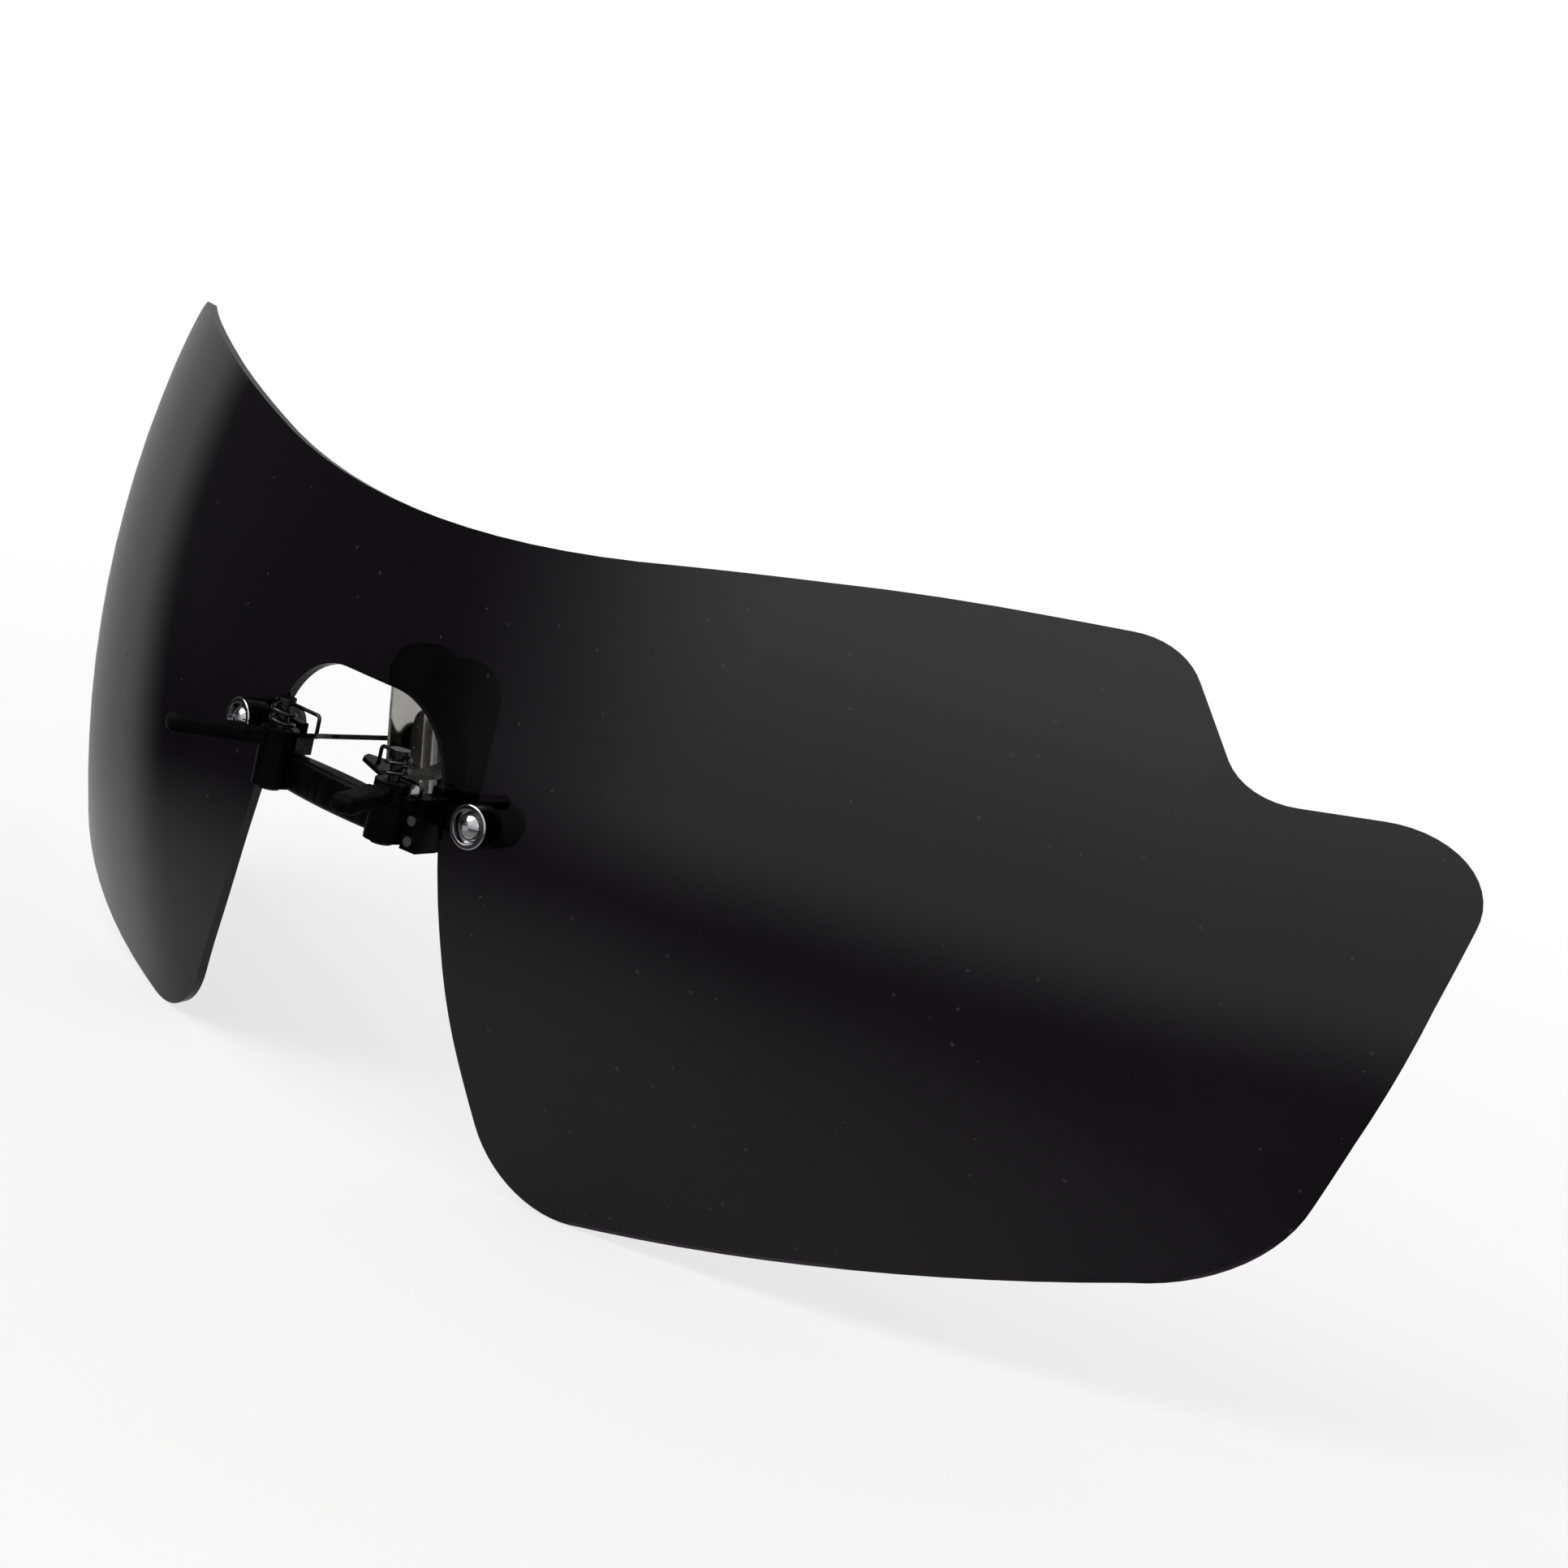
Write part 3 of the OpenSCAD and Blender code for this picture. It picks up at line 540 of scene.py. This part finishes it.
def roundCorners(corners, steps):
    outline = []
    for i, corner in enumerate(corners):
        at = Vector(corner[:2])
        before = Vector(corners[i - 1][:2]) - at
        after = Vector(corners[(i + 1) % len(corners)][:2]) - at
        half = before.angle(after) / 2
        reach = min(corner[2] / math.tan(half), soft["cornerShare"] * min(before.length, after.length))
        radius = reach * math.tan(half)
        middle = at + (before.normalized() + after.normalized()).normalized() * radius / math.sin(half)
        first = at + before.normalized() * reach - middle
        last = at + after.normalized() * reach - middle
        turn = math.atan2(first.x * last.y - first.y * last.x, first.dot(last))
        for k in range(steps + 1):
            outline.append(middle + Matrix.Rotation(turn * k / steps, 2) @ first)
    return outline


def inset(outline, by):
    moved = []
    for i, point in enumerate(outline):
        chord = (outline[(i + 1) % len(outline)] - outline[i - 1]).normalized()
        moved.append(point + Vector((chord.y, -chord.x)) * by)
    return moved


# Clear nose pads: a bead round a hollow on the side of the arm, and a crown towards the nose
nosePad = {
    "corners": [  # across, up, radius
        (-0.02, 1.0, 0.3), (1.01, 1.0, 0.55), (0.98, 0.0, 0.25), (0.28, 0.0, 0.24),
    ],
    "cornerSteps": 12,
    "beadInset": 1.2,  # from the outline to the hollow and the crown
    "spine": (0.5, 0.3, 0.68),  # across, foot, head
    "hollow": [(0.06, 0.78), (0.4, 0.78), (0.75, 0.785), (1.0, 0.8)],  # share of the outline, depth
    "bead": [  # inset, depth
        (1.05, 0.86), (0.92, 0.945), (0.75, 0.985), (0.55, 1.0), (0.36, 0.99), (0.2, 0.95), (0.09, 0.88),
        (0.02, 0.78), (0.0, 0.66), (0.0, 0.5), (0.03, 0.38), (0.1, 0.28), (0.24, 0.19), (0.45, 0.12),
        (0.8, 0.06),
    ],
    "crown": [(1.0, 0.03), (0.7, 0.012), (0.35, 0.002), (0.06, 0.0)],  # share of the outline, depth
    "smoothing": 1,
}


def buildNosePad(side):
    low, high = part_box(side + "_nose_pad")
    inner, outer = sorted((abs(low.x), abs(high.x)))
    width, height = high.y - low.y, high.z - low.z
    corners = [(low.y + a * width, low.z + b * height, r * width) for a, b, r in nosePad["corners"]]
    corners = [(y / mm, z / mm, r / mm) for y, z, r in corners]
    outline = roundCorners(corners, nosePad["cornerSteps"])
    shrunk = inset(outline, nosePad["beadInset"])
    across, foot, head = nosePad["spine"]
    spineY = (low.y + across * width) / mm
    footZ, headZ = (low.z + foot * height) / mm, (low.z + head * height) / mm

    def towardsSpine(share):
        ring = []
        for point in shrunk:
            target = Vector((spineY, min(max(point.y, footZ), headZ)))
            ring.append(target + (point - target) * share)
        return ring

    levels = [(towardsSpine(share), depth) for share, depth in nosePad["hollow"]]
    levels += [(inset(outline, by), depth) for by, depth in nosePad["bead"]]
    levels += [(towardsSpine(share), depth) for share, depth in nosePad["crown"]]
    rings = []
    for ring, depth in levels:
        x = sides[side] * (inner + (outer - inner) * depth)
        rings.append([(x, point.x * mm, point.y * mm) for point in ring])
    pad = makePiece(side + "NosePad", *skin(rings), "clearSilicone")
    smooth = pad.modifiers.new("softForm", "SUBSURF")
    smooth.levels = nosePad["smoothing"]
    smooth.render_levels = nosePad["smoothing"]
    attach(pad, turningBody[side])
    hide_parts(side + "_nose_pad")


# Rubber sleeves on the levers' bars: a rounded tip, a fine mould line and an open, lipped mouth
sleeve = {
    "splay": 25,  # degrees from straight ahead to the bar
    "width": 1.8,
    "height": 1.25,
    "cornerRadius": 0.36,
    "cornerSteps": 6,
    "mouldLine": 0.016,  # how far the ridge on the thin sides stands out
    "crown": 0.02,
    "mouth": (0.94, 0.74),
    "mouthDepth": 0.7,
    "lipDepth": 0.04,  # how deep the flare of the lip goes
    "lipFlare": 0.08,
    "lipRadius": 0.14,
    "leastRadius": 0.1,
    "radiusDraw": 0.3,  # how much of the draw goes off the corner's radius
    "ridgeHalf": 0.05,
    "crownShare": 0.4,
    "profile": [  # along the bar from the pivot, drawn in
        (2.4, 0.16), (2.415, 0.08), (2.46, 0.02), (2.55, -0.01), (2.75, -0.02), (2.92, -0.01), (3.02, 0.03),
        (3.1, 0.035), (3.25, 0.02), (4.0, 0.015), (5.2, 0.02), (6.4, 0.01), (7.2, 0.0), (7.5, 0.01),
        (7.65, 0.04), (7.78, 0.09), (7.88, 0.17), (7.95, 0.27), (7.985, 0.38), (8.0, 0.5),
    ],
}


def sleeveSection(width, height, radius, ridge, crown):
    points = []
    edgeSide = (width / 2, height / 2, ridge, sleeve["ridgeHalf"])
    flatSide = (height / 2, width / 2, crown, sleeve["crownShare"] * width / 2)
    for turn, (half, other, bulge, near) in enumerate((edgeSide, flatSide, edgeSide, flatSide)):
        spin = Matrix.Rotation(math.radians(90 * turn), 2)
        for across, out in ((-near, 0.0), (0.0, bulge), (near, 0.0)):
            points.append(spin @ Vector((half + out, across)))
        for k in range(sleeve["cornerSteps"] + 1):
            angle = math.radians(90 * k / sleeve["cornerSteps"])
            corner = (half - radius + radius * math.cos(angle), other - radius + radius * math.sin(angle))
            points.append(spin @ Vector(corner))
    return points


def buildSleeve(side, pivot):
    splay = math.radians(sleeve["splay"])
    low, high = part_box(side + "_sleeve")
    middle = (low.z + high.z) / 2 - pivot.z
    along = Vector((math.sin(splay), -math.cos(splay), 0))
    across = Vector((math.cos(splay), math.sin(splay), 0))

    def ringAt(reach, width, height, radius, ridge, crown):
        section = sleeveSection(width, height, radius, ridge, crown)
        start = along * reach + Vector((0, 0, middle / mm))
        return [placed(side, start + across * p.x + Vector((0, 0, p.y)), pivot) for p in section]

    mouthWidth, mouthHeight = sleeve["mouth"]
    firstReach = sleeve["profile"][0][0]
    flare, least = sleeve["lipFlare"], sleeve["leastRadius"]
    rings = [
        ringAt(firstReach + sleeve["mouthDepth"], mouthWidth, mouthHeight, least, 0.0, 0.0),
        ringAt(firstReach + sleeve["lipDepth"], mouthWidth, mouthHeight, least, 0.0, 0.0),
        ringAt(firstReach, mouthWidth + flare, mouthHeight + flare, sleeve["lipRadius"], 0.0, 0.0),
    ]
    for reach, drawn in sleeve["profile"]:
        width, height = sleeve["width"] - 2 * drawn, sleeve["height"] - 2 * drawn
        radius = max(sleeve["cornerRadius"] - sleeve["radiusDraw"] * drawn, least)
        radius = min(radius, soft["cornerShare"] * height)
        rings.append(ringAt(reach, width, height, radius, sleeve["mouldLine"], sleeve["crown"]))
    piece = makePiece(side + "Sleeve", *skin(rings), "blackRubber")
    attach(piece, turningBody[side])
    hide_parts(side + "_sleeve")


# Torsion springs: a leg up from the lug, the coil round the pin and a leg down into the pad arm
spring = {
    "wire": 0.14,  # radius
    "wireSides": 14,
    "lugEnd": (1.95, 0.85, -0.25),  # outwards, back, up
    "bend": 0.28,  # radius
    "bendSteps": 8,
    "coil": 0.85,  # radius
    "coilFoot": 0.94,
    "coilRise": 0.72,
    "coilTurns": 2,
    "coilSteps": 40,
    "armEnd": (-2.8, 0.85, 0.78),
    "twistSlope": 58,  # the twist runs this steeply up from the coil's start
    "twistLength": 1.22,
}


def bendFrom(start, wayIn, wayOut):
    points = []
    for k in range(spring["bendSteps"] + 1):
        angle = math.radians(90 * k / spring["bendSteps"])
        points.append(start + spring["bend"] * (math.sin(angle) * wayIn + (1 - math.cos(angle)) * wayOut))
    return points


def springPath():
    up, inwards, down = Vector((0, 0, 1)), Vector((-1, 0, 0)), Vector((0, 0, -1))
    lugEnd, armEnd = Vector(spring["lugEnd"]), Vector(spring["armEnd"])
    coilFoot = spring["coilFoot"]
    coilHead = coilFoot + spring["coilRise"] * spring["coilTurns"]
    path = [lugEnd]
    path += bendFrom(Vector((lugEnd.x, lugEnd.y, coilFoot - spring["bend"])), up, inwards)
    steps = spring["coilSteps"]
    for k in range(spring["coilTurns"] * steps + 1):
        angle = math.radians(90 + 360 * k / steps)
        height = coilFoot + spring["coilRise"] * k / steps
        path.append(Vector((spring["coil"] * math.cos(angle), spring["coil"] * math.sin(angle), height)))
    path += bendFrom(Vector((armEnd.x + spring["bend"], armEnd.y, coilHead)), inwards, down)
    path.append(armEnd)
    return path


def buildSpring(side, pivot):
    path = springPath()
    ways = [(path[min(i + 1, len(path) - 1)] - path[max(i - 1, 0)]).normalized() for i in range(len(path))]
    out = Vector((1, 0, 0))
    rings = []
    for point, way in zip(path, ways):
        out = (out - way * out.dot(way)).normalized()
        over = way.cross(out)
        ring = []
        for k in range(spring["wireSides"]):
            angle = math.tau * k / spring["wireSides"]
            offset = spring["wire"] * (math.cos(angle) * out + math.sin(angle) * over)
            ring.append(placed(side, point + offset, pivot))
        rings.append(ring)
    piece = makePiece(side + "Spring", *skin(rings), "springWire")
    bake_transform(piece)
    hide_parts(side + "_spring")


for side in sides:
    buildNosePad(side)
    buildSleeve(side, pivots[side])
    buildSpring(side, pivots[side])
print("pads, sleeves and springs built")


# Floor, world and lights. A fade or gloss is where it starts and ends, and its values there
stage = {
    "floorColor": (0.74, 0.74, 0.735),
    "floorWhite": 0.7,  # share of plain white where the floor is looked at
    "floorRadius": 0.24,
    "floorSides": 96,
    "floorDrop": 0.05 * mm,
    "floorFade": (0.06, 0.22, 0.0, 1.0),  # by distance from its middle
    "worldLight": 0.55,
    "floorMirrorFade": (0.025, 0.1, 0.62, 1.0),  # the same, where it is mirrored
    "glossAcross": (-0.66, -0.05, 0.05, 1.0),  # mirrored light along X
    "glossLow": (-0.27, -0.09, 0.1, 1.0),  # along Z, under and round the level
    "glossUp": (-0.1, 0.45, 0.52, 1.0),  # along Z, above it
    "glossBehind": (-0.1, 0.15, 0.0, 0.27),  # along Y
    "sunStrength": 1.5,
    "sunAngle": 50,
    "sunFrom": (-0.35, -0.45, 0.82),
}


def addRange(tree, source, limits):
    made = addNode(tree, "ShaderNodeMapRange", interpolation_type="SMOOTHSTEP")
    for name, value in zip(("From Min", "From Max", "To Min", "To Max"), limits):
        made.inputs[name].default_value = value
    link(tree, source, made.inputs["Value"])
    return made.outputs["Result"]


# The world is white where it is looked at, and falls off to grey at one side where it is mirrored
def buildWorld():
    world = bpy.data.worlds.new("studio")
    bpy.context.scene.world = world
    world.use_nodes = True
    tree = world.node_tree
    tree.nodes.clear()
    out = addNode(tree, "ShaderNodeOutputWorld")
    path = addNode(tree, "ShaderNodeLightPath")
    ambient = addNode(tree, "ShaderNodeBackground", Strength=stage["worldLight"])
    gloss = addNode(tree, "ShaderNodeBackground", Strength=1.0)
    white = addNode(tree, "ShaderNodeBackground", Strength=1.0)
    for made in (ambient, white):
        made.inputs["Color"].default_value = (1.0, 1.0, 1.0, 1.0)
    place = addNode(tree, "ShaderNodeTexCoord")
    parts = addNode(tree, "ShaderNodeSeparateXYZ")
    link(tree, place.outputs["Generated"], parts.inputs[0])
    upright = addNode(tree, "ShaderNodeMath", operation="MULTIPLY")
    link(tree, addRange(tree, parts.outputs["Z"], stage["glossLow"]), upright.inputs[0])
    link(tree, addRange(tree, parts.outputs["Z"], stage["glossUp"]), upright.inputs[1])
    front = addNode(tree, "ShaderNodeMath", operation="MULTIPLY")
    link(tree, addRange(tree, parts.outputs["X"], stage["glossAcross"]), front.inputs[0])
    link(tree, upright.outputs[0], front.inputs[1])
    mirrored = addNode(tree, "ShaderNodeMath", operation="MAXIMUM")
    link(tree, front.outputs[0], mirrored.inputs[0])
    link(tree, addRange(tree, parts.outputs["Y"], stage["glossBehind"]), mirrored.inputs[1])
    link(tree, mirrored.outputs[0], gloss.inputs["Color"])
    seen = addNode(tree, "ShaderNodeMath", operation="MAXIMUM")
    link(tree, path.outputs["Is Camera Ray"], seen.inputs[0])
    link(tree, path.outputs["Is Transmission Ray"], seen.inputs[1])
    glossMix = addNode(tree, "ShaderNodeMixShader")
    link(tree, path.outputs["Is Glossy Ray"], glossMix.inputs[0])
    link(tree, ambient.outputs[0], glossMix.inputs[1])
    link(tree, gloss.outputs[0], glossMix.inputs[2])
    seenMix = addNode(tree, "ShaderNodeMixShader")
    link(tree, seen.outputs[0], seenMix.inputs[0])
    link(tree, glossMix.outputs[0], seenMix.inputs[1])
    link(tree, white.outputs[0], seenMix.inputs[2])
    link(tree, seenMix.outputs[0], out.inputs["Surface"])


# A pale round floor that fades into the white before its edge
def buildFloor():
    shape = bmesh.new()
    bmesh.ops.create_circle(shape, cap_ends=True, radius=stage["floorRadius"], segments=stage["floorSides"])
    mesh = bpy.data.meshes.new("floor")
    shape.to_mesh(mesh)
    shape.free()
    floor = bpy.data.objects.new("floor", mesh)
    floor.location.z = -stage["floorDrop"]
    bpy.context.scene.collection.objects.link(floor)
    material = bpy.data.materials.new("paleFloor")
    material.use_nodes = True
    tree = material.node_tree
    tree.nodes.clear()
    out = addNode(tree, "ShaderNodeOutputMaterial")
    path = addNode(tree, "ShaderNodeLightPath")
    matte = addNode(tree, "ShaderNodeBsdfDiffuse")
    matte.inputs["Color"].default_value = (*stage["floorColor"], 1.0)
    glow = addNode(tree, "ShaderNodeEmission", Strength=1.0)
    share = addNode(tree, "ShaderNodeMath", operation="MULTIPLY")
    share.inputs[1].default_value = stage["floorWhite"]
    seen = addNode(tree, "ShaderNodeMath", operation="MAXIMUM")
    link(tree, path.outputs["Is Camera Ray"], seen.inputs[0])
    link(tree, path.outputs["Is Transmission Ray"], seen.inputs[1])
    mix = addNode(tree, "ShaderNodeMixShader")
    link(tree, seen.outputs[0], share.inputs[0])
    link(tree, share.outputs[0], mix.inputs[0])
    link(tree, matte.outputs[0], mix.inputs[1])
    link(tree, glow.outputs[0], mix.inputs[2])
    place = addNode(tree, "ShaderNodeTexCoord")
    reach = addNode(tree, "ShaderNodeVectorMath", operation="LENGTH")
    clear = addNode(tree, "ShaderNodeBsdfTransparent")
    fade = addNode(tree, "ShaderNodeMixShader")
    mirrorFade = addNode(tree, "ShaderNodeMath", operation="MULTIPLY")
    fades = addNode(tree, "ShaderNodeMath", operation="MAXIMUM")
    link(tree, place.outputs["Object"], reach.inputs[0])
    link(tree, addRange(tree, reach.outputs["Value"], stage["floorMirrorFade"]), mirrorFade.inputs[0])
    link(tree, path.outputs["Is Glossy Ray"], mirrorFade.inputs[1])
    link(tree, addRange(tree, reach.outputs["Value"], stage["floorFade"]), fades.inputs[0])
    link(tree, mirrorFade.outputs[0], fades.inputs[1])
    link(tree, fades.outputs[0], fade.inputs[0])
    link(tree, mix.outputs[0], fade.inputs[1])
    link(tree, clear.outputs[0], fade.inputs[2])
    link(tree, fade.outputs[0], out.inputs["Surface"])
    mesh.materials.append(material)


def addSun():
    data = bpy.data.lights.new("sun", "SUN")
    data.energy = stage["sunStrength"]
    data.angle = math.radians(stage["sunAngle"])
    sun = bpy.data.objects.new("sun", data)
    sun.rotation_euler = Vector(stage["sunFrom"]).to_track_quat("Z", "Y").to_euler()
    bpy.context.scene.collection.objects.link(sun)


def addSoftbox(name, place, target, size, power, mirrored):
    data = bpy.data.lights.new(name, "AREA")
    data.shape = "RECTANGLE"
    data.size, data.size_y = size
    data.energy = power
    lamp = bpy.data.objects.new(name, data)
    lamp.location = place
    lamp.rotation_euler = (Vector(place) - Vector(target)).to_track_quat("Z", "Y").to_euler()
    lamp.visible_camera = False
    lamp.visible_glossy = mirrored
    bpy.context.scene.collection.objects.link(lamp)


softboxes = {
    "keyBox": {
        "place": (-0.5, -0.9, 0.75), "target": (0, 0, 0.03),
        "size": (0.5, 0.35), "power": 3.0, "mirrored": True,
    },
    "rimBox": {
        "place": (-0.75, 0.35, 0.35), "target": (0, 0, 0.03),
        "size": (0.25, 0.6), "power": 1.2, "mirrored": False,
    },
}
buildWorld()
buildFloor()
addSun()
for name, box in softboxes.items():
    addSoftbox(name, **box)
print("stage lit")
